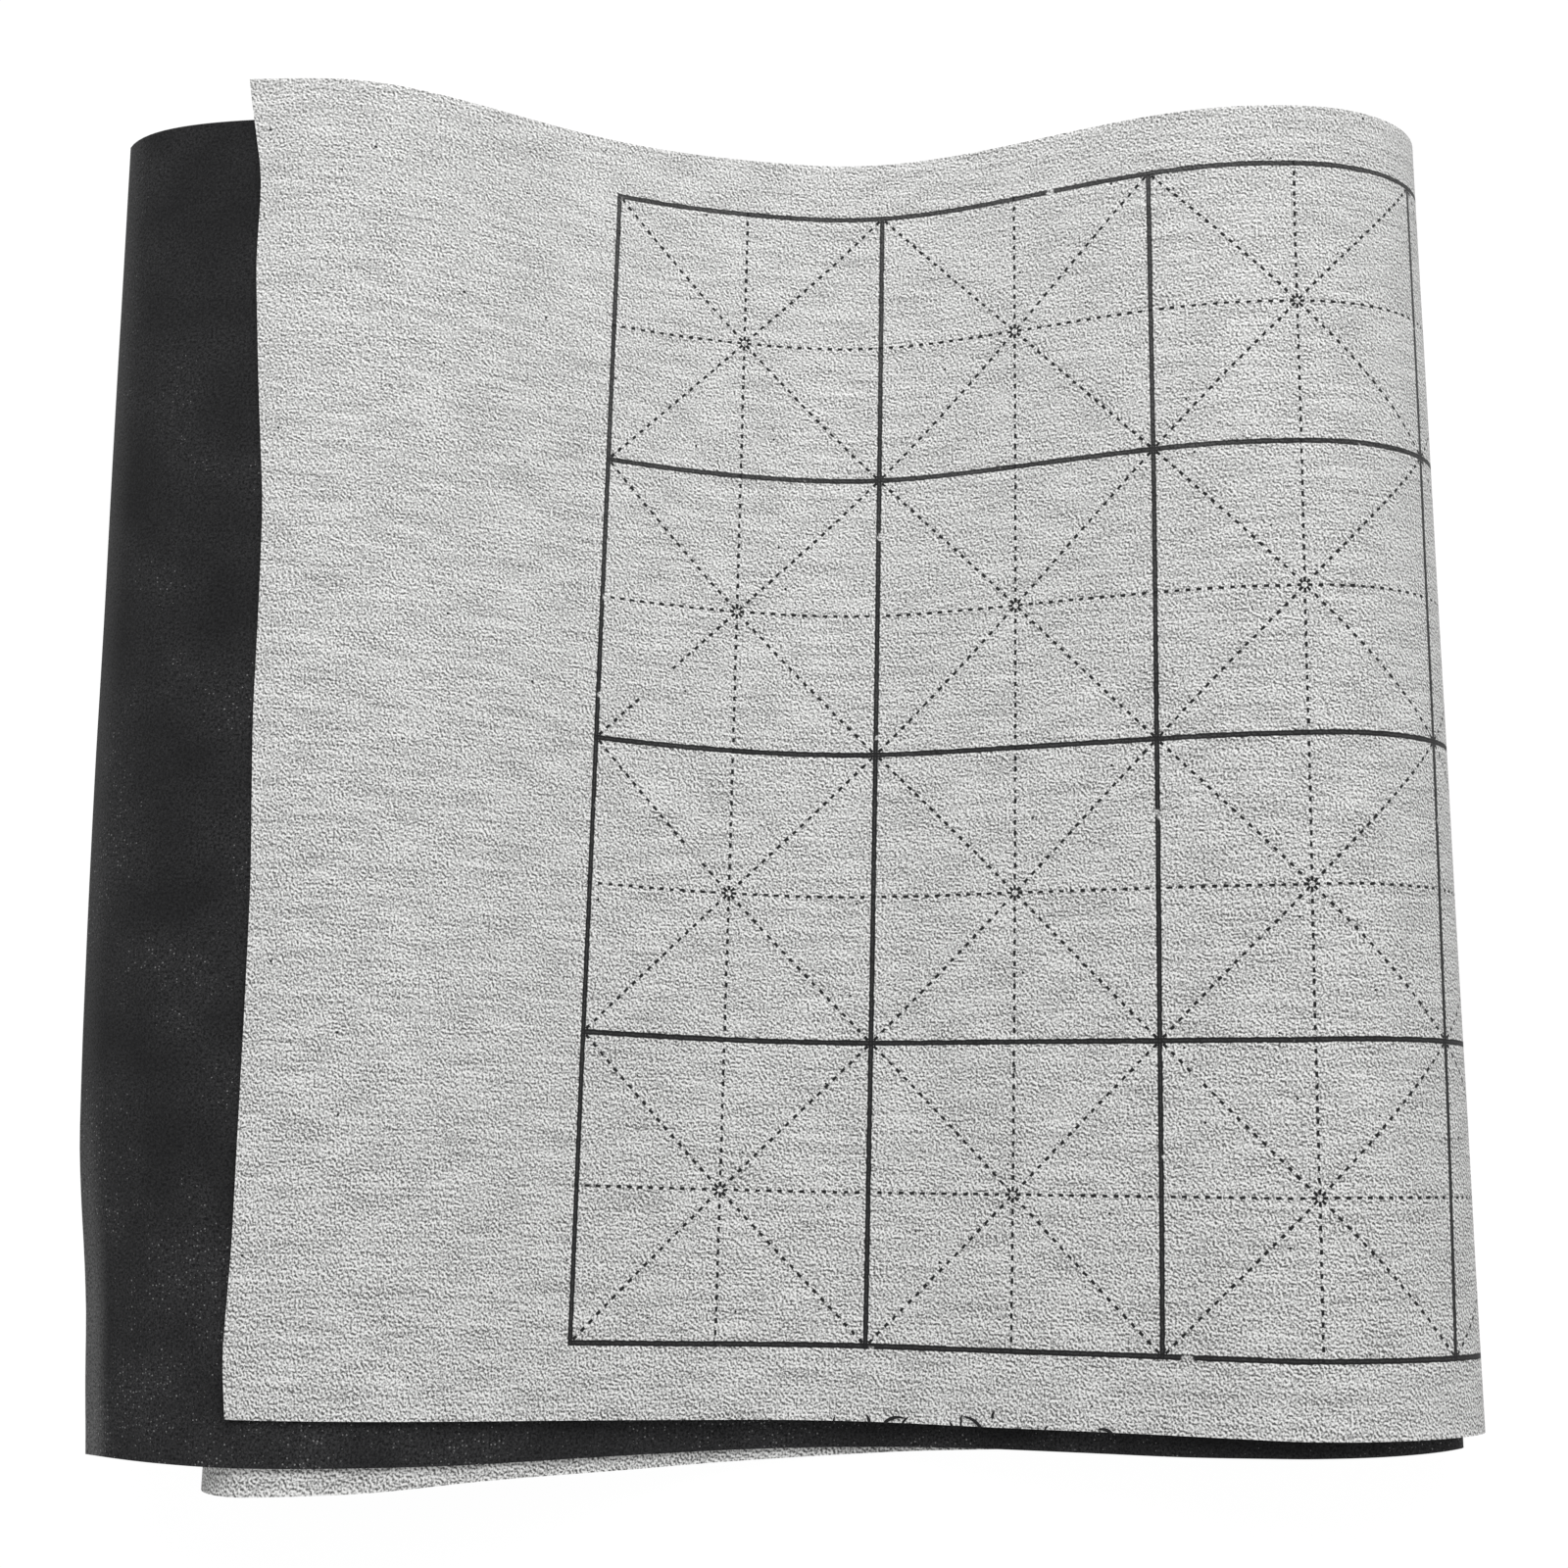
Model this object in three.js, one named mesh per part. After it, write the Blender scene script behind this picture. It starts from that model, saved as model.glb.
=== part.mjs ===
// A long water writing cloth, folded in half and then folded over once more, lying loose on a table.
// Millimetres, +Z up. The strip runs along X, and the writer sits at -Y.
import * as THREE from "three";

// The cloth: a ruled face that darkens when wet, bonded to a black backing.
const cell = 80; // side of one ruled square
const rows = 4; // squares across the strip
const backMargin = 17; // plain cloth beyond the ruling, away from the writer
const frontMargin = 19.3; // plain cloth beyond the ruling, on the writer's side
const leadMargin = 97.5; // plain cloth from the top leaf's cut end to the first ruled column
const plainEnd = 92; // least plain cloth after the last ruled column
const faceThick = 0.35;
const backingThick = 0.45;
const rowLine = 1.6; // printed line along the strip
const columnLine = 1.4; // printed line across it
const inkThick = 0.06; // film of ink
const inkGap = 0.05; // between the ink's film and the face

// How the strip lies: heights are of the middle of the cloth above the table.
const air = 0.7; // between leaves that lie on each other
const slack = 4.2; // further air under the top leaf, in its sag and at its fold
const loopHeight = 52.5; // top of the end fold, at the left
const loopReach = 15.4; // how far the end fold bulges past the leaves' left crest
const crestLeft = -260; // left crest, measured from the right crest at X = 0
const sagAt = -121; // lowest line of the two upper leaves
const innerHeight = 45; // top of the inner fold, at the right
const foldReach = 52.5; // how far the outer fold bulges past the right crest
const foldNest = 5.5; // outer fold's bulge beyond the inner fold's
const foldWaist = 18; // height at which both right folds reach furthest
const foldUnder = 30; // length over which the outer fold curls under to the table
const underOverhang = 56; // under leaf's end beyond the left crest
const droopSpare = 6; // how much further out the curve of that drooping end would turn straight down
const droopDrop = 40; // how far down it would have dropped there
const topOverhang = 15; // top leaf's end beyond the left crest
const hollowDeep = 7; // how much lower the leaves lie next to the left crest at the far edge
const hollowReach = 63; // half the length of that hollow
const dipDeep = 10; // how much lower the two upper leaves lie round the right crest at the writer's edge
const dipAt = -30; // middle of that dip
const dipReach = 58; // half its length

// The strip wanders a little towards the writer as it is folded, and its ends are cut out of square.
const driftLoop = 17.8; // at the end fold
const driftInner = 4.1; // at the inner fold
const driftUnder = 12.2; // at the under leaf's end
const driftBend = 1.2; // how late along the inner leaf that wandering comes
const topCutSkew = 16; // how much further left the far corner of the top leaf's cut end lies
const topCutBow = 5.5; // how much shorter the middle of that end is
const underCutSkew = 12; // how much further left the far corner of the under leaf's cut end lies
const underCorner = 10; // how much shorter that end is at the writer's corner
const cornerFrom = 2 / 3; // share of the way across at which that corner begins
const droopTwist = 10; // how much lower that end hangs at the writer's corner, and higher at the far one
const foldTaper = 7; // how much less both right folds bulge at the far edge

// Fineness of the sections.
const leafStep = 7;
const foldStep = 3;
const bands = 3; // strips across every leaf and fold

const thick = faceThick + backingThick;
const width = backMargin + rows * cell + frontMargin;
const lift = thick + air; // from one leaf's middle to the next when they lie together
const baseZ = thick / 2;
const innerZ = baseZ + lift; // inner leaf where it lies on the base leaf
const underCrest = loopHeight + lift;
const outerHeight = innerHeight + lift + slack;
const innerReach = foldReach - foldNest;
const droopReach = underOverhang + droopSpare;
const innerUnder = foldUnder * (innerReach / foldReach);

// A smooth rise from 0 to 1.
const wave = (u) => (1 - Math.cos(Math.PI * Math.min(1, Math.max(0, u)))) / 2;
const towardsLoop = (x) => (sagAt - x) / (sagAt - crestLeft);

// Heights of the leaves over X, each stacked on the one below.
const innerLeafZ = (x) => innerZ + (loopHeight - innerZ) * wave(towardsLoop(x));
function droopZ(x) {
  const out = (crestLeft - x) / droopReach;
  return underCrest - droopDrop * (1 - Math.sqrt(Math.max(0, 1 - out * out)));
}
function underLeafZ(x) {
  if (x < crestLeft) return droopZ(x);
  if (x < sagAt) return innerLeafZ(x) + lift;
  return innerZ + lift + (innerHeight - innerZ - lift) * wave(1 - x / sagAt);
}
const topLeafZ = (x) => underLeafZ(x) + lift + slack * wave(1 - towardsLoop(x));

// Finely spaced points along one stretch of the section.
const fine = 400;
const along = (point) => Array.from({ length: fine + 1 }, (_, k) => point(k / fine));
const mix = (a, b, u) => a + (b - a) * u;
const quarter = (u) => (u * Math.PI) / 2;

const topStart = crestLeft - topOverhang - topCutSkew;
const droopTurn = Math.asin(Math.min(0.995, (underOverhang + underCutSkew / 2) / droopReach));
const stretches = {
  top_leaf: along((u) => {
    const x = mix(topStart, 0, u);
    return [x, topLeafZ(x)];
  }),
  outer_fold: [
    ...along((u) => [
      foldReach * Math.sin(quarter(u)),
      foldWaist + (outerHeight - foldWaist) * Math.cos(quarter(u)),
    ]),
    ...along((u) => [
      foldReach - foldUnder * (1 - Math.cos(quarter(u))),
      foldWaist - (foldWaist - baseZ) * Math.sin(quarter(u)),
    ]),
  ],
  base_leaf: along((u) => [mix(foldReach - foldUnder, crestLeft, u), baseZ]),
  end_fold: along((u) => [
    crestLeft - loopReach * Math.sin(Math.PI * u),
    mix(baseZ, loopHeight, (1 - Math.cos(Math.PI * u)) / 2),
  ]),
  inner_leaf: along((u) => {
    const x = mix(crestLeft, innerReach - innerUnder, u);
    return [x, innerLeafZ(x)];
  }),
  inner_fold: [
    ...along((u) => [
      innerReach - innerUnder * (1 - Math.sin(quarter(u))),
      foldWaist - (foldWaist - innerZ) * Math.cos(quarter(u)),
    ]),
    ...along((u) => [
      innerReach * Math.cos(quarter(u)),
      foldWaist + (innerHeight - foldWaist) * Math.sin(quarter(u)),
    ]),
  ],
  under_leaf: [
    ...along((u) => {
      const x = mix(0, crestLeft, u);
      return [x, underLeafZ(x)];
    }),
    ...along((u) => {
      const x = crestLeft - droopReach * Math.sin(u * droopTurn);
      return [x, droopZ(x)];
    }),
  ],
};

// The whole section as one run of points, with the length along the cloth at each.
const section = [];
const bounds = {};
for (const [name, points] of Object.entries(stretches)) {
  const first = section.length ? section[section.length - 1].s : 0;
  for (const [x, z] of points) {
    const last = section[section.length - 1];
    const step = last ? Math.hypot(x - last.x, z - last.z) : 0;
    if (!last || step > 1e-9) section.push({ x, z, s: last ? last.s + step : 0 });
  }
  bounds[name] = [first, section[section.length - 1].s];
}

function pointAt(s) {
  let low = 0;
  let high = section.length - 1;
  while (high - low > 1) {
    const middle = (low + high) >> 1;
    if (section[middle].s <= s) low = middle;
    else high = middle;
  }
  const a = section[low];
  const b = section[high];
  const u = (s - a.s) / (b.s - a.s);
  return { x: mix(a.x, b.x, u), z: mix(a.z, b.z, u) };
}

// Where the middle of each cut end lies along the section.
const cutTop = section.find((p) => p.x >= crestLeft - topOverhang).s;
const cutUnder = section.find((p) => p.s > bounds.under_leaf[0] && p.x <= crestLeft - underOverhang).s;
bounds.top_leaf[0] = cutTop;
bounds.under_leaf[1] = cutUnder;
const firstColumn = cutTop + leadMargin;
const columns = Math.floor((cutUnder - firstColumn - plainEnd) / cell);

// Leaves meet folds where the cloth lies level, so the section is level there.
const levels = new Map();
const names = Object.keys(bounds);
names.slice(1).forEach((name, k) => levels.set(bounds[name][0], [1, -1, -1, 1, 1, -1][k]));

// The cloth's direction at a length along it, as X and Z.
function directionAt(s) {
  if (levels.has(s)) return [levels.get(s), 0];
  const a = pointAt(s - 0.4);
  const b = pointAt(s + 0.4);
  const run = Math.hypot(b.x - a.x, b.z - a.z);
  return [(b.x - a.x) / run, (b.z - a.z) / run];
}

// How far towards the writer the strip has wandered at a length along it.
function driftAt(s) {
  const share = (name) => (s - bounds[name][0]) / (bounds[name][1] - bounds[name][0]);
  if (s <= bounds.outer_fold[1]) return 0;
  if (s <= bounds.base_leaf[1]) return driftLoop * share("base_leaf");
  if (s <= bounds.end_fold[1]) return driftLoop;
  if (s <= bounds.inner_leaf[1]) return mix(driftInner, driftLoop, (1 - share("inner_leaf")) ** driftBend);
  if (s <= bounds.inner_fold[1]) return driftInner;
  return mix(driftInner, driftUnder, share("under_leaf"));
}

// How far the cut ends slant, bow and turn in, fading out over the plain cloth next to them.
function slantAt(s, v) {
  const fade = (gap, plain) => Math.max(0, 1 - gap / plain);
  const top = topCutSkew * (v - 0.5) + topCutBow * 4 * v * (1 - v);
  const corner = Math.max(0, (v - cornerFrom) / (1 - cornerFrom));
  const under = underCutSkew * (v - 0.5) + underCorner * corner;
  return top * fade(s - cutTop, leadMargin) - under * fade(cutUnder - s, plainEnd);
}

// How far both cut ends twist down past the left crest, from the far edge to the writer's.
function twistAt(s, x, side) {
  const free = s < bounds.outer_fold[0] || s > bounds.under_leaf[0];
  const out = Math.max(0, crestLeft - x) / underOverhang;
  return free ? droopTwist * out * out * side : 0;
}

// How much lower the upper leaves lie in the hollow of their left slope and the dip of their right one.
// The dip runs out down the folds, at their waist.
function reliefAt(s, p, v) {
  const bump = (at, reach) => Math.cos(quarter(Math.min(1, Math.abs(p.x - at) / reach))) ** 2;
  const leaf = s > bounds.end_fold[1] || s < bounds.outer_fold[0];
  const hollow = leaf ? hollowDeep * (1 - v) * bump(crestLeft + hollowReach, hollowReach) : 0;
  const outer = s < bounds.outer_fold[1];
  const crest = outer ? outerHeight : innerHeight;
  const held = p.x < 0 ? 1 : Math.max(0, (p.z - foldWaist) / (crest - foldWaist));
  const dip = outer || s > bounds.inner_fold[0] ? dipDeep * v * held * bump(dipAt, dipReach) : 0;
  return hollow + dip;
}

// A point of the cloth: length along it, distance across it from the far edge, and height over its middle
// on the face's side.
function place(s, across, over) {
  const v = across / width;
  const slanted = s + slantAt(s, v);
  const p = pointAt(slanted);
  const [dx, dz] = directionAt(slanted);
  const taper = foldTaper * (1 - v) * Math.max(0, p.x / foldReach);
  const lower = twistAt(s, p.x, 2 * v - 1) + reliefAt(s, p, v);
  return [p.x - taper - dz * over, width / 2 - across - driftAt(s), p.z - lower + dx * over];
}

// The printed ruling: row lines across the strip, column lines along it, and the stretches that carry them.
const rowEdges = Array.from({ length: rows + 1 }, (_, r) => backMargin + r * cell).flatMap((y) => [
  y - rowLine / 2,
  y + rowLine / 2,
]);
const columnLines = Array.from({ length: columns + 1 }, (_, c) => firstColumn + c * cell);
const ruled = ["top_leaf", "outer_fold", "inner_leaf", "under_leaf"];
function linesOn(name) {
  const [a, b] = bounds[name];
  return ruled.includes(name) ? columnLines.filter((s) => s - columnLine > a && s + columnLine < b) : [];
}

// Lengths at which a stretch is cut into flat strips, the edges of its column lines among them.
function stations(name) {
  const [a, b] = bounds[name];
  const step = name === "base_leaf" ? b - a : name.endsWith("fold") ? foldStep : leafStep;
  const count = Math.ceil((b - a) / step);
  const even = Array.from({ length: count + 1 }, (_, k) => (k === count ? b : a + ((b - a) * k) / count));
  const edges = linesOn(name).flatMap((s) => [s - columnLine / 2, s + columnLine / 2]);
  const apart = (s) => edges.every((e) => Math.abs(e - s) > columnLine / 2);
  const clear = even.filter((s, k) => k === 0 || k === count || apart(s));
  return [...clear, ...edges].sort((p, q) => p - q);
}

// A closed body between two heights over the cloth's middle, with only the patches that `on` names.
function patchwork(lengths, breaks, low, high, on) {
  const positions = [];
  const index = [];
  const known = new Map();
  const corner = (i, j, top) => {
    const key = (i * breaks.length + j) * 2 + top;
    if (!known.has(key)) {
      known.set(key, positions.length / 3);
      positions.push(...place(lengths[i], breaks[j], top ? high : low));
    }
    return known.get(key);
  };
  const quad = (a, b, c, d) => index.push(a, b, c, a, c, d);
  // A twisted patch is split along its lower diagonal, so that the print over it stays clear of the face.
  const turned = (i, j) => {
    const ends = [[i, j], [i, j + 1], [i + 1, j + 1], [i + 1, j]];
    const [a, b, c, d] = ends.map(([m, n]) => new THREE.Vector3(...place(lengths[m], breaks[n], 0)));
    const normal = c.clone().sub(a).cross(d.clone().sub(b));
    return normal.dot(a.add(c).sub(b).sub(d)) > 0;
  };
  const inside = (i, j) => i >= 0 && j >= 0 && i < lengths.length - 1 && j < breaks.length - 1 && on(i, j);
  for (let i = 0; i < lengths.length - 1; i += 1) {
    for (let j = 0; j < breaks.length - 1; j += 1) {
      if (!inside(i, j)) continue;
      const over = [corner(i, j, 1), corner(i, j + 1, 1), corner(i + 1, j + 1, 1), corner(i + 1, j, 1)];
      const a = corner(i, j, 0);
      const b = corner(i + 1, j, 0);
      const c = corner(i + 1, j + 1, 0);
      const d = corner(i, j + 1, 0);
      const split = turned(i, j);
      quad(...(split ? [...over.slice(1), over[0]] : over));
      quad(...(split ? [b, c, d, a] : [a, b, c, d]));
      if (!inside(i - 1, j)) quad(a, d, corner(i, j + 1, 1), corner(i, j, 1));
      if (!inside(i + 1, j)) quad(b, corner(i + 1, j, 1), corner(i + 1, j + 1, 1), c);
      if (!inside(i, j - 1)) quad(a, corner(i, j, 1), corner(i + 1, j, 1), b);
      if (!inside(i, j + 1)) quad(d, c, corner(i + 1, j + 1, 1), corner(i, j + 1, 1));
    }
  }
  const geometry = new THREE.BufferGeometry();
  geometry.setAttribute("position", new THREE.Float32BufferAttribute(positions, 3));
  geometry.setIndex(index);
  geometry.computeVertexNormals();
  return geometry;
}

const faceCloth = new THREE.MeshStandardMaterial({ color: 0xc6c6c5, roughness: 0.95, metalness: 0 });
const backingCloth = new THREE.MeshStandardMaterial({ color: 0x2b2b2c, roughness: 0.98, metalness: 0 });
const ink = new THREE.MeshStandardMaterial({ color: 0x303031, roughness: 0.85, metalness: 0 });

const part = new THREE.Group();
part.name = "water_writing_cloth";
function add(name, geometry, material) {
  const mesh = new THREE.Mesh(geometry, material);
  mesh.name = name;
  part.add(mesh);
}

// Both layers of every leaf and fold, on the same stations, so that they meet point for point.
const bond = thick / 2 - faceThick;
const breaks = Array.from({ length: bands + 1 }, (_, k) => (width * k) / bands);
for (const name of names) {
  const lengths = stations(name);
  add(`${name}_face`, patchwork(lengths, breaks, bond, thick / 2, () => true), faceCloth);
  add(`${name}_backing`, patchwork(lengths, breaks, -thick / 2, bond, () => true), backingCloth);
}

// The ruling's lattice, on its face's own stations. It stops where the outer fold curls down onto the
// table, so that the part rests on cloth.
const inkLow = thick / 2 + inkGap;
for (const name of ruled) {
  const from = columnLines[0] - columnLine * 0.6;
  const to = columnLines[columns] + columnLine * 0.6;
  const lengths = stations(name).filter((s) => s > from && s < to && pointAt(s).z > lift);
  const middle = (i) => (lengths[i] + lengths[i + 1]) / 2;
  const onColumn = (i) => linesOn(name).some((s) => Math.abs(middle(i) - s) < columnLine / 2);
  const onLine = (i, j) => j % 2 === 0 || onColumn(i);
  add(`${name}_ruling`, patchwork(lengths, rowEdges, inkLow, inkLow + inkThick, onLine), ink);
}

// Stand the part on the table with its box centred over the origin.
const box = new THREE.Box3().setFromObject(part);
const shift = [-(box.min.x + box.max.x) / 2, -(box.min.y + box.max.y) / 2, -box.min.z];
part.children.forEach((mesh) => mesh.geometry.translate(...shift));

export default part;
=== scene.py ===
"""A water writing cloth, as a Blender add-on that is run as a script.

The strip is one long cloth, a ruled crepe face on a black felt backing, folded in half and folded over once
more. Its section is worked out along the whole strip, and each leaf and fold is a stretch of that section.
"""

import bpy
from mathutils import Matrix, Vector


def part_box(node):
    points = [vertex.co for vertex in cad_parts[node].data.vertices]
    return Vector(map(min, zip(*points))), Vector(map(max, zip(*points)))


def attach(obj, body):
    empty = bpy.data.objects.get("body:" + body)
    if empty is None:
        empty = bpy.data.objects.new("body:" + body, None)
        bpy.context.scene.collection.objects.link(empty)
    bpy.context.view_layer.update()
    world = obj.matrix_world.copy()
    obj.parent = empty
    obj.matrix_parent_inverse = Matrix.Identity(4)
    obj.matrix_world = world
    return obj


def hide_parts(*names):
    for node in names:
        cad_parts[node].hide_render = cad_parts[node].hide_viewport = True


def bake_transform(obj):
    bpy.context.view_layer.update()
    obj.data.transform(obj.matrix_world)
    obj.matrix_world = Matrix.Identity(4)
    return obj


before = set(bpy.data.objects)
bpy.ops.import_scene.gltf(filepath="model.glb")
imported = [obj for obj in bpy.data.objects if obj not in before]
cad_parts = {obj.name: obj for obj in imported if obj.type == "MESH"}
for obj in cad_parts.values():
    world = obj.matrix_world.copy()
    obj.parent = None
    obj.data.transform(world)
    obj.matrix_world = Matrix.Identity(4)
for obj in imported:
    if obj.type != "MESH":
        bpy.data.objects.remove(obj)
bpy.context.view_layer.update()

import math

import bpy
import numpy as np
from mathutils import Matrix, Vector

bl_info = {
    "name": "Water Writing Cloth",
    "version": (1, 0, 0),
    "blender": (4, 5, 0),
    "location": "View3D > Sidebar > Writing Cloth",
    "description": "A folded cloth for practising brush writing with water",
    "category": "Object",
}

MM = 0.001
right_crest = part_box("top_leaf_face")[1].x
far_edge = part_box("top_leaf_face")[1].y


def linear(code):
    """An sRGB hex colour as linear red, green and blue."""
    levels = [int(code[k : k + 2], 16) / 255 for k in (1, 3, 5)]
    return [p / 12.92 if p <= 0.04045 else ((p + 0.055) / 1.055) ** 2.4 for p in levels]


def wave(share):
    """A smooth rise from nought to one, held before and after."""
    return (1 - np.cos(math.pi * np.clip(share, 0, 1))) / 2


def eased(at, table, soft):
    """A table of places and amounts, read off at given places, with its corners rounded over a length."""
    places, amounts = np.array(table).T
    steps = np.linspace(-soft, soft, 9)
    weights = 1 + np.cos(math.pi * steps / soft)
    read = [weight * np.interp(at + step, places, amounts) for step, weight in zip(steps, weights)]
    return sum(read) / weights.sum()


def unit(vectors):
    """Vectors brought to a length of one."""
    return vectors / np.linalg.norm(vectors, axis=1)[:, None]


def length(name, description, millimetres):
    """A length that a user can change, given in millimetres and kept in metres."""
    return bpy.props.FloatProperty(
        name=name,
        description=description,
        default=millimetres * MM,
        subtype="DISTANCE",
        unit="LENGTH",
        precision=5,
    )


def colour(name, description, code):
    """A colour that a user can change."""
    return bpy.props.FloatVectorProperty(
        name=name, description=description, default=linear(code), subtype="COLOR", size=3, min=0, max=1
    )


class ClothCut(bpy.types.PropertyGroup):
    """The strip as it was cut, ruled and bonded, before it was folded."""

    cell: length("Square", "Side of one ruled square", 80)
    rows: bpy.props.IntProperty(name="Rows", description="Squares across the strip", default=4, min=1)
    columns: bpy.props.IntProperty(name="Columns", description="Squares along the strip", default=16, min=1)
    back_margin: length("Far margin", "Plain cloth beyond the ruling, away from the writer", 17)
    front_margin: length("Near margin", "Plain cloth beyond the ruling, on the writer's side", 19.3)
    lead_margin: length("First margin", "Plain cloth from the top leaf's cut end to the first column", 97.5)
    plain_end: length("Last margin", "Plain cloth after the last column, over which its cut end slants", 92)
    face: length("Face", "Thickness of the crepe face", 0.35)
    backing: length("Backing", "Thickness of the felt backing", 0.45)
    row_line: length("Row line", "Width of the printed lines along the strip", 1.5)
    column_line: length("Column line", "Width of the printed lines across it", 1.4)
    dash_pitch: length("Dash pitch", "From one dash of the guide lines to the next", 2.96)
    dash_long: length("Dash length", "Length of one dash", 1.35)
    dash_wide: length("Dash width", "Width of one dash", 0.78)


class ClothLie(bpy.types.PropertyGroup):
    """How the strip lies on the table. Heights are of the middle of the cloth."""

    air: length("Air", "Between leaves that lie on each other", 0.7)
    slack: length("Slack", "Further air under the top leaf, in its sag and at its fold", 4.2)
    span: length("Span", "From the left crest of the leaves to the right one", 260)
    sag: length("Sag", "From the right crest to the lowest line of the upper leaves", 121)
    loop_height: length("Loop height", "Top of the end fold, at the left", 52.5)
    loop_reach: length("Loop reach", "How far the end fold bulges past the left crest", 15.4)
    inner_height: length("Inner height", "Top of the inner fold, at the right", 45)
    fold_reach: length("Fold reach", "How far the outer fold bulges past the right crest", 52.5)
    fold_nest: length("Fold nest", "Outer fold's bulge beyond the inner fold's", 5.5)
    fold_waist: length("Fold waist", "Height at which both right folds reach furthest", 18)
    fold_under: length("Fold under", "Length over which the outer fold curls under to the table", 30)
    fold_taper: length("Fold taper", "How much less both right folds bulge at the far edge", 7)
    fold_back: length("Fold back", "How much further from the writer both right folds lie", 1.6)
    top_overhang: length("Top overhang", "Top leaf's end beyond the left crest", 15)
    under_overhang: length("Under overhang", "Under leaf's end beyond the left crest", 56)
    droop_spare: length("Droop spare", "How much further out the drooping end would turn straight down", 6)
    droop_drop: length("Droop drop", "How far down it would have dropped there", 40)
    droop_twist: length("Droop twist", "How much lower that end hangs at the near corner", 10)
    drift_loop: length("Loop drift", "How far towards the writer the strip lies at the end fold", 17.8)
    drift_inner: length("Inner drift", "The same at the inner fold", 4.7)
    drift_under: length("Under drift", "The same at the under leaf's end", 12.2)
    drift_bend: bpy.props.FloatProperty(
        name="Drift bend",
        description="How early along the inner leaf that wandering is taken back",
        default=1.2,
        min=0.1,
    )
    top_skew: length("Top cut", "How much further left the far corner of the top leaf's end lies", 16)
    under_skew: length("Under cut", "The same for the under leaf's end", 12)
    hollow_deep: length("Hollow", "How much lower the leaves lie on their left slope at the far edge", 7)
    hollow_at: length("Hollow place", "From the right crest to the middle of that hollow", 197)
    hollow_reach: length("Hollow reach", "Half the length of that hollow", 66)
    dip_deep: length("Dip", "How much lower the leaves lie on their right slope at the near edge", 10)
    dip_at: length("Dip place", "From the right crest to the middle of that dip", 30)
    dip_reach: length("Dip reach", "Half the length of that dip", 58)
    ripple: length("Ripple", "Height of the soft waves that handling left in the cloth", 0.5)
    weave: length("Mesh step", "Size of the mesh's squares on the leaves", 4)


class ClothColours(bpy.types.PropertyGroup):
    """Colours of the cloth's two layers and of the print."""

    crepe_crest: colour("Crepe crests", "Crests of the crepe's grain", "#fafaf9")
    crepe_hollow: colour("Crepe hollows", "Hollows of the crepe's grain", "#5c5c5b")
    ink: colour("Ink", "Printed ruling", "#1c1c1d")
    felt: colour("Felt", "Felt backing", "#161617")
    nap: colour("Felt nap", "Raised fibres of the felt", "#424243")
    # Painted sheen along the under leaf's drooping end, for the light it catches where it turns steeply
    # down.
    rim_sheen: colour("Rubbed felt", "Nap that wear has raised along the under leaf's end", "#797979")
    lint: colour("Lint", "Dust and loose fibres on the felt", "#a4a4a4")


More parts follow.
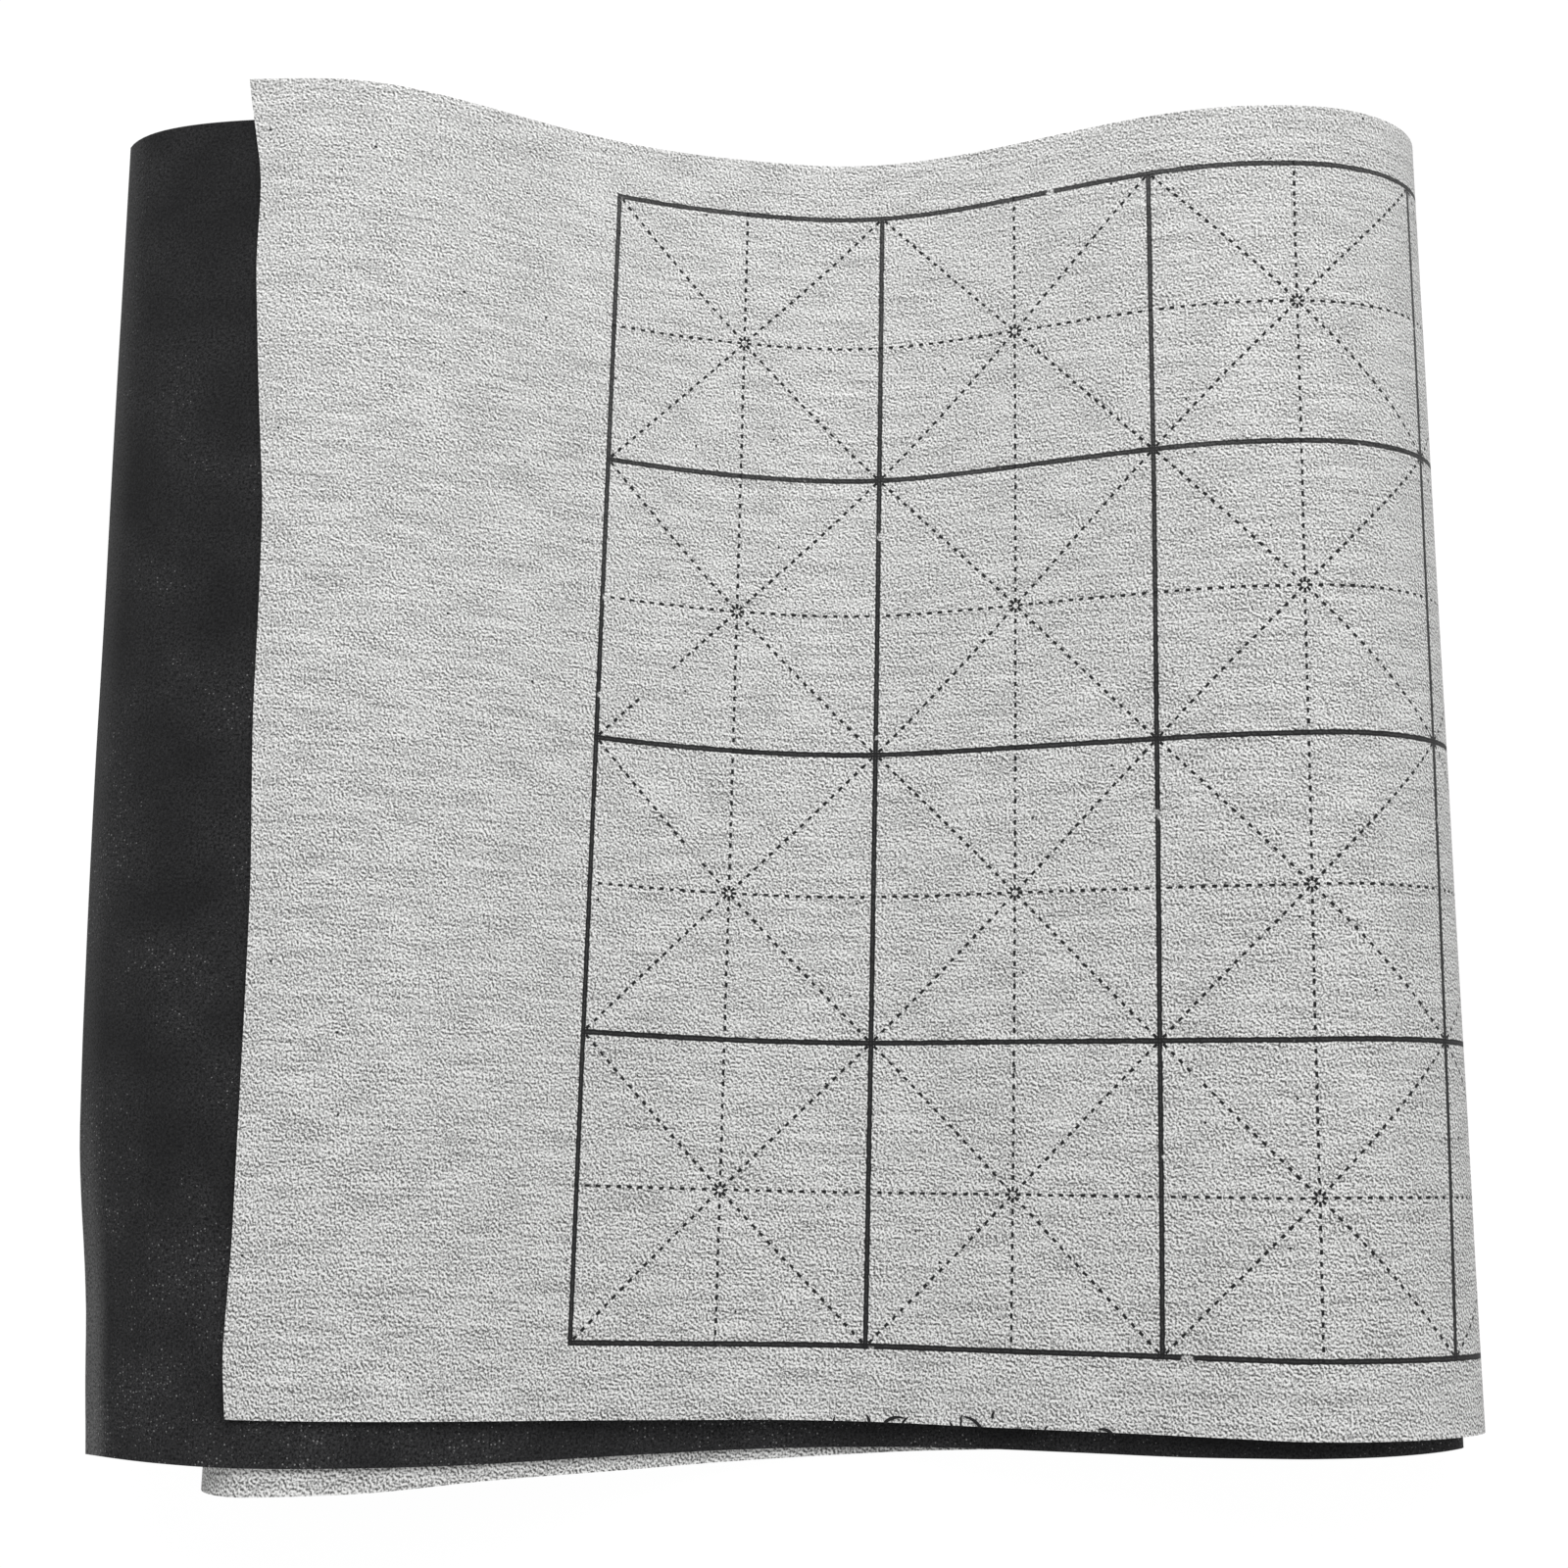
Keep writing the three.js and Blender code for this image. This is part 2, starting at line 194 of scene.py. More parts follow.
class Strip:
    """The folded strip: the section that the cloth's middle follows, and the place of each of its points.

    The section's X is measured from the right crest. Lengths along the strip start near the top leaf's end.
    """

    # How far each cut end lies beyond a straight cut, in millimetres, from the far edge to the near one.
    top_cut = (
        (0, 0), (0.08, 4.2), (0.15, 3.0), (0.25, 4.6), (0.34, 6.4), (0.42, 5.9),
        (0.5, 5.1), (0.62, 5.4), (0.73, 4.3), (0.88, 2.6), (0.96, 0.6), (1, 1.8),
    )
    under_cut = (
        (0, 0), (0.17, 1.6), (0.36, 2.1), (0.48, 3.2), (0.62, 2.6), (0.7, 1.9),
        (0.78, 0.2), (0.82, -2.6), (0.86, -5.7), (0.9, -7.7), (0.95, -8.5), (1, -10.2),
    )
    # How far the near edge of each of these stretches lies beyond a straight one, along the stretch.
    near_edges = {
        "top_leaf": ((0, -0.7), (0.14, -0.5), (0.3, -0.2), (0.45, 0.2), (0.6, 0), (1, 0)),
        "inner_leaf": (
            (0, 0), (0.1, 0.7), (0.2, -0.1), (0.35, 0.5), (0.48, 0),
            (0.6, -1), (0.7, -0.8), (0.85, 0), (1, 0),
        ),
        "inner_fold": ((0, 0), (0.5, -1), (1, 0)),
        "under_leaf": ((0, 0), (0.08, 0.6), (0.25, -0.6), (0.5, 0.7), (0.66, 1), (0.84, 0), (1, -2.2)),
    }
    # How far handling has pulled the cloth along the strip, in millimetres, at places counted in squares
    # from the first column line: near the far edge, in the middle and near the writer's edge.
    pulled_far = ((-1.2, 0), (0, 0.4), (1, 0.1), (2.5, 0), (3, 5.5), (4, 0))
    pulled_middle = ((-1.2, 0), (0, -0.5), (1, 0.1), (2, 1.5), (2.5, 0.3), (3, 3.2), (4, 0))
    pulled_near = ((-1.2, 0), (0, -1.4), (1, -0.6), (1.5, -0.4), (2, 1.8), (2.5, 0.5), (3, -1.6), (4, 0))
    # How far from the middle the outer two of these were read, as a share of the width.
    pulled_at = 0.45
    # Lengths over which the corners of these tables are rounded, in their own measure.
    cut_soft, edge_soft, pull_soft = 0.03, 0.06, 0.21
    # Waves of the ripple: one radian's length along and across the strip in millimetres, and the start.
    ripples = ((21, 34, 0), (-45, 16, 1.3), (90, 41, 4))
    # How fast the hollow and the near edges' waviness fade across the strip.
    hollow_fade, edge_fade = 1.6, 3
    # How far past a cut end its shift goes on growing, as a share of the plain margin.
    past_cut = 0.2
    # Points along each leaf and each half of a fold.
    count = 401
    # The sine of the steepest slope of the drooping end, and how far it then runs on straight.
    steepest = 0.995
    straight_on = 30 * MM

    def __init__(self, cut, lie):
        self.cut = cut
        self.lie = lie
        self.width = cut.back_margin + cut.rows * cut.cell + cut.front_margin
        self.thick = cut.face + cut.backing
        self.left = -lie.span
        self.base = self.thick / 2
        self.lift = self.thick + lie.air
        self.inner = self.base + self.lift
        self.outer_top = lie.inner_height + self.lift + lie.slack
        self.droop_reach = lie.under_overhang + lie.droop_spare

        # Where two stretches meet, their common point is kept once.
        runs = self.section()
        self.x = np.concatenate([x for x, _ in runs.values()])
        self.z = np.concatenate([z for _, z in runs.values()])
        self.s = np.r_[0, np.cumsum(np.hypot(np.diff(self.x), np.diff(self.z)))]
        ends = np.cumsum([len(x) for x, _ in runs.values()]) - 1
        self.bounds = dict(zip(runs, zip(np.r_[0, self.s[ends[:-1]]], self.s[ends])))
        fresh = np.r_[True, np.diff(self.s) > 1e-6 * MM]
        self.s, self.x, self.z = self.s[fresh], self.x[fresh], self.z[fresh]

        # The drooping end runs on straight, for the part of its cut that reaches past the section.
        on = np.array([self.x[-1] - self.x[-2], self.z[-1] - self.z[-2]])
        on *= self.straight_on / np.hypot(*on)
        self.s = np.r_[self.s, self.s[-1] + self.straight_on]
        self.x = np.r_[self.x, self.x[-1] + on[0]]
        self.z = np.r_[self.z, self.z[-1] + on[1]]
        end = self.left - lie.under_overhang
        self.cut_top = np.interp(self.left - lie.top_overhang, runs["top_leaf"][0], self.s[: self.count])
        self.cut_under = self.s[np.argmax((self.s > self.bounds["under_leaf"][0]) & (self.x <= end))]
        self.bounds["top_leaf"] = (self.cut_top, self.bounds["top_leaf"][1])
        self.bounds["under_leaf"] = (self.bounds["under_leaf"][0], self.cut_under)
        self.first_column = self.cut_top + cut.lead_margin

    def to_loop(self, x):
        """How far a place lies from the sag's lowest line to the left crest, as a share of that way."""
        return (-self.lie.sag - x) / (self.lie.span - self.lie.sag)

    def inner_z(self, x):
        """Height of the inner leaf."""
        return self.inner + (self.lie.loop_height - self.inner) * wave(self.to_loop(x))

    def under_z(self, x):
        """Height of the under leaf, from the right crest through the sag to the droop past the left one."""
        lie = self.lie
        low = self.inner + self.lift
        rise = low + (lie.inner_height - low) * wave(1 + x / lie.sag)
        out = np.clip((self.left - x) / self.droop_reach, 0, 1)
        droop = lie.loop_height + self.lift - lie.droop_drop * (1 - np.sqrt(1 - out * out))
        return np.where(x < self.left, droop, np.where(x < -lie.sag, self.inner_z(x) + self.lift, rise))

    def section(self):
        """The section's X and Z along each leaf and fold in turn."""
        lie = self.lie
        u = np.linspace(0, 1, self.count)
        sine = np.sin(u * math.pi / 2)
        cosine = np.cos(u * math.pi / 2)
        waist = lie.fold_waist
        right = lie.fold_reach - lie.fold_under
        inner_reach = lie.fold_reach - lie.fold_nest
        inner_under = lie.fold_under * inner_reach / lie.fold_reach
        turn = math.asin(min(self.steepest, (lie.under_overhang + lie.under_skew / 2) / self.droop_reach))
        top_x = (self.left - lie.top_overhang - lie.top_skew) * (1 - u)
        inner_x = self.left + (inner_reach - inner_under - self.left) * u
        under_x = np.r_[self.left * u, self.left - self.droop_reach * np.sin(u * turn)]
        return {
            "top_leaf": (
                top_x,
                self.under_z(top_x) + self.lift + lie.slack * wave(1 - self.to_loop(top_x)),
            ),
            "outer_fold": (
                np.r_[lie.fold_reach * sine, lie.fold_reach - lie.fold_under * (1 - cosine)],
                np.r_[waist + (self.outer_top - waist) * cosine, waist - (waist - self.base) * sine],
            ),
            "base_leaf": (right + (self.left - right) * u, np.full(self.count, self.base)),
            "end_fold": (
                self.left - lie.loop_reach * np.sin(math.pi * u),
                self.base + (lie.loop_height - self.base) * wave(u),
            ),
            "inner_leaf": (inner_x, self.inner_z(inner_x)),
            "inner_fold": (
                np.r_[inner_reach - inner_under * (1 - sine), inner_reach * cosine],
                np.r_[waist - (waist - self.inner) * cosine, waist + (lie.inner_height - waist) * sine],
            ),
            "under_leaf": (under_x, self.under_z(under_x)),
        }

    def drift(self, s, v):
        """How far towards the writer the strip has wandered, with the waviness of its near edges."""
        lie = self.lie

        def share(name):
            first, last = self.bounds[name]
            return np.clip((s - first) / (last - first), 0, 1)

        to_loop = lie.drift_loop * share("base_leaf")
        back = (lie.drift_loop - lie.drift_inner) * (1 - (1 - share("inner_leaf")) ** lie.drift_bend)
        on = (lie.drift_under - lie.drift_inner) * share("under_leaf")
        wavy = sum(eased(share(name), table, self.edge_soft) for name, table in self.near_edges.items())
        return to_loop - back + on + wavy * MM * np.clip(v, 0, 1) ** self.edge_fade

    def cut_ends(self, s, v):
        """How far the ends' slant and waviness shift the cloth along the strip, fading over the margins."""
        lie = self.lie
        most = 1 + self.past_cut
        top = np.clip(1 - (s - self.cut_top) / self.cut.lead_margin, 0, most)
        under = np.clip(1 - (self.cut_under - s) / self.cut.plain_end, 0, most)
        shift = 0
        for fade, skew, table in (
            (top, lie.top_skew, self.top_cut),
            (under, -lie.under_skew, self.under_cut),
        ):
            shift = shift + fade * (skew * (v - 0.5) + fade * eased(v, table, self.cut_soft) * MM)
        return shift

    def pull(self, s, v):
        """How far handling has pulled the cloth along the strip, between its first columns."""
        column = (s - self.first_column) / self.cut.cell
        tables = (self.pulled_far, self.pulled_middle, self.pulled_near)
        far, middle, near = (eased(column, table, self.pull_soft) for table in tables)
        tilt = (v - 0.5) / self.pulled_at
        return MM * (middle + tilt * (near - far) / 2 + tilt * tilt * ((near + far) / 2 - middle))

    def relief(self, s, x, z, v):
        """How much lower the leaves lie in the hollow of their left slope and the dip of the right one."""
        lie = self.lie

        def bump(at, reach):
            return np.cos(math.pi / 2 * np.clip((x + at) / reach, -1, 1)) ** 2

        leaf = (s > self.bounds["end_fold"][1]) | (s < self.bounds["outer_fold"][0])
        hollow = lie.hollow_deep * (1 - v) ** self.hollow_fade * bump(lie.hollow_at, lie.hollow_reach)
        upper = (s > self.bounds["inner_fold"][0]) | (s < self.bounds["outer_fold"][1])
        crest = np.where(s < self.bounds["outer_fold"][1], self.outer_top, lie.inner_height)
        held = np.where(x < 0, 1, np.clip((z - lie.fold_waist) / (crest - lie.fold_waist), 0, 1))
        dip = held * lie.dip_deep * v * bump(lie.dip_at, lie.dip_reach)
        return np.where(leaf, hollow, 0) + np.where(upper, dip, 0)

    def place(self, s, across, over):
        """Points of the cloth by length along it, distance from the far edge and height over the middle."""
        lie = self.lie
        v = across / self.width
        at = s + self.cut_ends(s, v) + self.pull(s, v)
        x = np.interp(at, self.s, self.x)
        z = np.interp(at, self.s, self.z)
        near = 0.4 * MM
        dx = np.interp(at + near, self.s, self.x) - np.interp(at - near, self.s, self.x)
        dz = np.interp(at + near, self.s, self.z) - np.interp(at - near, self.s, self.z)
        run = np.hypot(dx, dz)
        bulge = np.maximum(0, x / lie.fold_reach)
        taper = lie.fold_taper * (1 - v) * bulge
        y = lie.fold_back * bulge - across - self.drift(s, v)
        waves = [np.sin(x / (long * MM) + y / (wide * MM) + start) for long, wide, start in self.ripples]
        lifted = lie.ripple * sum(waves) / 2 * np.clip((z - self.base) / lie.loop_height, 0, 1)
        free = (s < self.bounds["outer_fold"][0]) | (s > self.bounds["under_leaf"][0])
        out = np.where(free, np.maximum(0, self.left - x) / lie.under_overhang, 0)
        twist = lie.droop_twist * out * out * (2 * v - 1)
        height = z + lifted - self.relief(s, x, z, np.clip(v, 0, 1)) - twist
        return np.stack(
            [right_crest + x - taper - dz / run * over, far_edge + y, height + dx / run * over], -1
        )


def lying_strip(context):
    """The strip as the scene's own values cut and lay it."""
    return Strip(context.scene.cloth_cut, context.scene.cloth_lie)


def linked(name, data):
    """A new object in the scene."""
    made = bpy.data.objects.new(name, data)
    bpy.context.scene.collection.objects.link(made)
    return made


def emptied(owner):
    """The nodes of a material or a world, cleared for its own."""
    owner.use_nodes = True
    owner.node_tree.nodes.clear()
    return owner.node_tree


def add_node(tree, kind, settings=None, inputs=None):
    """Adds a node with its own settings, and its inputs by name or number, as values or as links."""
    made = tree.nodes.new(kind)
    for key, value in (settings or {}).items():
        setattr(made, key, value)
    for key, value in (inputs or {}).items():
        if isinstance(value, bpy.types.NodeSocket):
            tree.links.new(value, made.inputs[key])
        else:
            made.inputs[key].default_value = value
    return made.outputs[0] if made.outputs else made


def number_math(tree, operation, *values, clamp=False):
    """A calculation with numbers."""
    settings = {"operation": operation, "use_clamp": clamp}
    return add_node(tree, "ShaderNodeMath", settings, dict(enumerate(values)))


def vector_math(tree, operation, *values):
    """A calculation with places."""
    return add_node(tree, "ShaderNodeVectorMath", {"operation": operation}, dict(enumerate(values)))


def parts(tree, place):
    """The numbers along and across of a place."""
    return add_node(tree, "ShaderNodeSeparateXYZ", {}, {0: place}).node.outputs


def ramp(tree, value, start, end, low=0, high=1, curve="LINEAR"):
    """A value brought from one range into another and held at its ends."""
    return add_node(tree, "ShaderNodeMapRange", {"interpolation_type": curve}, {
        "Value": value, "From Min": start, "From Max": end, "To Min": low, "To Max": high})


def mottle(tree, place, size, detail, distortion=0):
    """Flat noise in patches of about a given size."""
    return add_node(tree, "ShaderNodeTexNoise", {"noise_dimensions": "2D"}, {
        "Vector": place, "Scale": 1 / size, "Detail": detail, "Distortion": distortion})


def scatter(tree, place, apart):
    """Specks about a given length apart: how many such lengths the nearest is away, and its own chances."""
    specks = add_node(tree, "ShaderNodeTexVoronoi", {"voronoi_dimensions": "2D"}, {
        "Vector": place, "Scale": 1 / apart})
    chances = add_node(tree, "ShaderNodeSeparateColor", {}, {0: specks.node.outputs["Color"]})
    return specks, chances.node.outputs


def tint(tree, share, low, high):
    """Two colours, plain or linked, mixed by the share of the second."""
    ends = [end if isinstance(end, bpy.types.NodeSocket) else (*end, 1) for end in (low, high)]
    mixed = add_node(tree, "ShaderNodeMix", {"data_type": "RGBA"}, {
        "Factor": share, 6: ends[0], 7: ends[1]})
    return mixed.node.outputs[2]


def weave(tree, uv, across, ruled, colours):
    """The crepe's colour and its grain, over a ruled width."""
    # Worm-like crests of the crepe, 1.1 mm from one to the next, lying a little across the strip.
    grain = add_node(tree, "ShaderNodeTexGabor", {"gabor_type": "2D"}, {
        "Vector": uv,
        "Scale": 1 / (1.4 * MM),
        "Frequency": 1.27,
        "Anisotropy": 0.5,
        "Orientation": math.radians(123),
    })
    strong = 1.95
    share = number_math(tree, "MULTIPLY_ADD", grain, strong, -strong / 2)

    # Slubs of about 24 mm by 0.9 mm and smudges of about 14 mm by 4 mm, in which the crests lie closer or
    # wider apart, and the uneven twist of the yarn itself, over about 0.6 mm.
    for long, wide, detail, strong in ((24, 0.9, 2, 0.48), (14, 4, 2, 0.3), (0.55, 0.55, 1, 1.95)):
        stretched = vector_math(tree, "MULTIPLY", uv, (1 / (long * MM), 1 / (wide * MM), 1))
        uneven = number_math(tree, "SUBTRACT", mottle(tree, stretched, 1, detail), 0.5)
        share = number_math(tree, "MULTIPLY_ADD", uneven, strong, share)

    # The grain is flattest along the far edge and liveliest along the writer's.
    even = 0.54
    lively = ramp(tree, across, 0, ruled, 0.86, 1.14)
    share = number_math(tree, "MULTIPLY_ADD", share, lively, even)
    cloth = tint(tree, share, colours.crepe_hollow, colours.crepe_crest)

    # Ends of dark fibre caught in the weave, 0.2 to 0.8 mm across, one to each 24 mm or so.
    apart = 24
    specks, chances = scatter(tree, uv, apart * MM)
    bulk = number_math(tree, "MULTIPLY_ADD", chances[0], 0.3 / apart, 0.1 / apart)
    caught = number_math(tree, "LESS_THAN", specks, bulk)
    return tint(tree, caught, cloth, colours.ink), grain


def ruling(tree, uv, across, cut, first_column):
    """How much ink was printed: full lines round each square and guide lines through its middle."""
    # The print's edges follow the threads, so its place shakes by up to 0.1 mm over a thread or two.
    shake = 0.4 * MM
    threads = mottle(tree, uv, 1.6 * MM, 1).node.outputs["Color"]
    shaken = vector_math(tree, "MULTIPLY_ADD", threads, (shake,) * 3, (-shake / 2,) * 3)
    square = add_node(tree, "ShaderNodeMapping", {}, {
        "Vector": vector_math(tree, "ADD", uv, shaken),
        "Scale": (1 / cut.cell,) * 3,
        "Location": (-first_column / cut.cell, -cut.back_margin / cut.cell, 0),
    })
    inside = vector_math(tree, "FRACTION", square)
    middle = vector_math(tree, "MULTIPLY_ADD", inside, (cut.cell,) * 3, (-cut.cell / 2,) * 3)
    plain = parts(tree, vector_math(tree, "ABSOLUTE", middle))
    slant = math.sqrt(0.5)
    slanted = []
    for way in ((slant, slant, 0), (slant, -slant, 0)):
        off = vector_math(tree, "DOT_PRODUCT", middle, way).node.outputs["Value"]
        slanted.append(number_math(tree, "ABSOLUTE", off))

    # Full lines. They are paler towards the far edge and along their middle, and uneven in patches.
    soft = 0.12 * MM
    line_darkness = ramp(tree, across, 0, cut.rows * cut.cell, 0.88, 0.99)
    line_darkness = number_math(tree, "MULTIPLY_ADD", mottle(tree, uv, 25 * MM, 3), 0.1, line_darkness, clamp=True)
    marks = []
    for off, wide in ((plain[0], cut.column_line), (plain[1], cut.row_line)):
        edge = cut.cell / 2 - wide / 2
        line = ramp(tree, off, edge - soft, edge + soft, curve="SMOOTHSTEP")
        core = ramp(tree, off, edge + wide / 4, cut.cell / 2, 1, 0.95, curve="SMOOTHSTEP")
        marks.append(number_math(tree, "MULTIPLY", number_math(tree, "MULTIPLY", line, core), line_darkness))

    # Guide lines of crisp dashes, straight and slantwise.
    soft = 0.06 * MM
    half = cut.dash_pitch / 2
    end = half - cut.dash_long / 2
    side = cut.dash_wide / 2
    for one, other in ((plain[0], plain[1]), slanted):
        beside = number_math(tree, "MINIMUM", one, other)
        along = number_math(tree, "MAXIMUM", one, other)
        beat = number_math(tree, "PINGPONG", along, half)
        long = ramp(tree, beat, end - soft, end + soft, curve="SMOOTHSTEP")
        wide = ramp(tree, beside, side + soft, side - soft, curve="SMOOTHSTEP")
        marks.append(number_math(tree, "MULTIPLY", long, wide))
    ink = marks[0]
    for mark in marks[1:]:
        ink = number_math(tree, "MAXIMUM", ink, mark)

    # The ruling stops at the last lines.
    where = parts(tree, square)
    for off, count, wide in ((where[0], cut.columns, cut.column_line), (where[1], cut.rows, cut.row_line)):
        ruled = number_math(tree, "COMPARE", off, count / 2, count / 2 + wide / 2 / cut.cell)
        ink = number_math(tree, "MULTIPLY", ink, ruled)

    # The ink is missing in a few spots: some by chance, and those that show most at their columns and rows,
    # with their radii in millimetres.
    left = 0.1
    gaps = ramp(tree, mottle(tree, uv, 8 * MM, 3), 0.79, 0.74, left)
    ink = number_math(tree, "MULTIPLY", ink, gaps)
    for column, row, radius in (
        (1.01, 1.21, 1.2), (0.008, 1.85, 0.8), (0.21, 1.79, 6),
        (0.366, 2.366, 3), (1.64, 0, 1.1), (2.08, 4.01, 1.6),
    ):
        away = vector_math(tree, "DISTANCE", square, (column, row, 0)).node.outputs["Value"]
        rim = radius * MM / cut.cell
        ink = number_math(tree, "MULTIPLY", ink, ramp(tree, away, 0.8 * rim, 1.2 * rim, left))
    return ink


def crepe(strip, colours):
    """Rayon crepe, woven from hard-twisted yarn, coated to darken when wet and screen-printed.

    The twist pulls the weave into short worm-like crests about a millimetre apart, which show as a lively
    grey grain. Thicker weft threads run along the strip as faint streaks, and the printed ruling breaks
    here and there.
    """
    name = "crepe_rayon_coated_and_screen_printed"
    if name in bpy.data.materials:
        return bpy.data.materials[name]
    made = bpy.data.materials.new(name)
    tree = emptied(made)
    cut = strip.cut
    uv = add_node(tree, "ShaderNodeUVMap", {"uv_map": "strip"})
    across = parts(tree, uv)[1]
    cloth, grain = weave(tree, uv, across, cut.rows * cut.cell, colours)
    ink = ruling(tree, uv, across, cut, strip.first_column)
    relief = add_node(tree, "ShaderNodeBump", {}, {"Height": grain, "Strength": 0.2, "Distance": 0.15 * MM})
    surface = add_node(tree, "ShaderNodeBsdfPrincipled", {}, {
        "Base Color": tint(tree, ink, cloth, colours.ink),
        "Roughness": 0.92,
        "IOR": 1.46,
        "Specular IOR Level": 0.2,
        "Sheen Weight": 0.06,
        "Sheen Roughness": 0.6,
        "Normal": relief,
    })
    add_node(tree, "ShaderNodeOutputMaterial", {}, {"Surface": surface})
    return made


def felt(strip, colours):
    """Polyester felt, needled and dyed black, with a short raised nap.

    Its matted fibres make a soft dark mottle under a millimetre across. It picks up pale dust and ends of
    fibre. Along the drooping end, most of all at the writer's corner, a paler rim is painted sheen for
    the light that end catches where it turns steeply down.
    """
    name = "felt_polyester_needled_black"
    if name in bpy.data.materials:
        return bpy.data.materials[name]
    made = bpy.data.materials.new(name)
    tree = emptied(made)
    uv = add_node(tree, "ShaderNodeUVMap", {"uv_map": "strip"})
    along, across, _ = parts(tree, uv)

    # Matted fibres, in tufts of about 0.6 mm, and broad patches where the nap was brushed or pressed. The
    # felt is made paler towards the writer's side.
    tufts = mottle(tree, uv, 0.6 * MM, 3, 0.6)
    patches = mottle(tree, uv, 30 * MM, 3)
    brushed = ramp(tree, patches, 0.3, 0.7, 0.4, 1)
    nearward = ramp(tree, across, 0, strip.width, 0.74, 1.1)
    raised = ramp(tree, tufts, 0.34, 0.68)
    raised = number_math(tree, "MULTIPLY", number_math(tree, "MULTIPLY", raised, brushed), nearward)
    matted = tint(tree, raised, colours.felt, colours.nap)

    # Painted sheen: a paler rim about 8 mm wide along the under leaf's end, strongest at the writer's
    # corner, stands in for the light that end catches where it turns steeply down.
    end = strip.cut_under
    sheen_band = ramp(tree, along, end - 12.5 * MM, end - 4 * MM, curve="SMOOTHSTEP")
    near = ramp(tree, across, 0.74 * strip.width, 0.9 * strip.width, 0.12, 0.8)
    lifted = ramp(tree, tufts, 0.3, 0.7, 0.25, 1.05)
    painted_sheen = number_math(tree, "MULTIPLY", number_math(tree, "MULTIPLY", sheen_band, near), lifted)
    matted = tint(tree, painted_sheen, matted, colours.rim_sheen)

    # Specks of lint up to 0.5 mm across, gathered in drifts, most of them on the writer's side.
    specks, chances = scatter(tree, uv, 1.1 * MM)
    drifts = ramp(tree, patches, 0.4, 0.66, 0.95, 0.58)
    bulk = number_math(tree, "SUBTRACT", number_math(tree, "MULTIPLY", chances[0], nearward), drifts)
    bulk = ramp(tree, bulk, 0, 0.25, 0, 0.2)
    faint = ramp(tree, chances[1], 0, 1, 0.12, 0.65)
    lint = number_math(tree, "MULTIPLY", number_math(tree, "LESS_THAN", specks, bulk), faint)

    relief = add_node(tree, "ShaderNodeBump", {}, {"Height": tufts, "Strength": 0.35, "Distance": 0.2 * MM})
    surface = add_node(tree, "ShaderNodeBsdfPrincipled", {}, {
        "Base Color": tint(tree, lint, matted, colours.lint),
        "Roughness": 0.95,
        "IOR": 1.5,
        "Specular IOR Level": 0.15,
        "Sheen Weight": 0.08,
        "Sheen Roughness": 0.35,
        "Normal": relief,
    })
    add_node(tree, "ShaderNodeOutputMaterial", {}, {"Surface": surface})
    return made


def cloth_layer(name, strip, first, last, low, high, material):
    """One layer of one stretch of the strip, as a thin closed cloth.

    Its map named strip holds real metres along and across the cloth, so that the print runs on from piece
    to piece. A stretch that climbs has more squares, and they are half as wide again as the step.
    """
    step = strip.lie.weave
    heights = np.interp(np.linspace(first, last, 200), strip.s, strip.z)
    climb = np.abs(np.diff(heights)).sum()
    lengths = np.linspace(first, last, max(2, math.ceil((last - first + climb) / step) + 1))
    widths = np.linspace(0, strip.width, math.ceil(strip.width / (1.5 * step)) + 1)
    s, across = np.meshgrid(lengths, widths, indexing="ij")
    count = s.size
    points = np.concatenate([strip.place(s, across, over).reshape(-1, 3) for over in (high, low)])

    # Normals come from the section itself, so that neighbouring pieces shade as one cloth.
    near = 0.5 * MM
    along = strip.place(s + near, across, high) - strip.place(s - near, across, high)
    beside = strip.place(s, across + near, high) - strip.place(s, across - near, high)
    up = unit(np.cross(beside, along).reshape(-1, 3))

    index = np.arange(count).reshape(s.shape)
    a, b, c, d = index[:-1, :-1], index[:-1, 1:], index[1:, 1:], index[1:, :-1]
    over = np.stack([a, b, c, d], -1).reshape(-1, 4)
    under = over[:, ::-1] + count
    rim = np.concatenate([index[:-1, 0], index[-1, :-1], index[:0:-1, -1], index[0, :0:-1]])
    on = np.roll(rim, -1)
    wall = np.stack([rim, on, on + count, rim + count], -1)
    faces = np.concatenate([over, under, wall])
    mesh = bpy.data.meshes.new(name)
    mesh.from_pydata(points.tolist(), [], faces.tolist())
    mesh.shade_smooth()

    sides = unit(np.cross(points[on] - points[rim], points[rim + count] - points[rim]))
    normals = np.concatenate([up[over.ravel()], -up[under.ravel() - count], np.repeat(sides, 4, axis=0)])
    mesh.normals_split_custom_set(normals.tolist())
    flat = np.stack([s.ravel(), across.ravel()], -1)
    corners = np.concatenate([flat, flat])[faces.ravel()]
    mesh.uv_layers.new(name="strip").data.foreach_set("uv", corners.astype(np.float32).ravel())
    mesh.materials.append(material)
    return linked(name, mesh)


def cloth_pair(context, name, stretches):
    """The crepe face and felt backing of neighbouring stretches, standing for their CAD solids."""
    strip = lying_strip(context)
    colours = context.scene.cloth_colours
    first = strip.bounds[stretches[0]][0]
    last = strip.bounds[stretches[-1]][1]
    top = strip.thick / 2
    bond = top - strip.cut.face
    made = []
    for layer, low, high, material, slot in (
        ("face", bond, top, crepe(strip, colours), "face_cloth"),
        ("backing", -top, bond, felt(strip, colours), "backing_cloth"),
    ):
        piece = cloth_layer(f"{name}_{layer}_cloth", strip, first, last, low, high, material)
        nodes = [f"{stretch}_{layer}" for stretch in stretches]
        if layer == "face":
            nodes += [f"{stretch}_ruling" for stretch in stretches if f"{stretch}_ruling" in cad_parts]
        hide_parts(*nodes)
        made.append(piece)
    return made


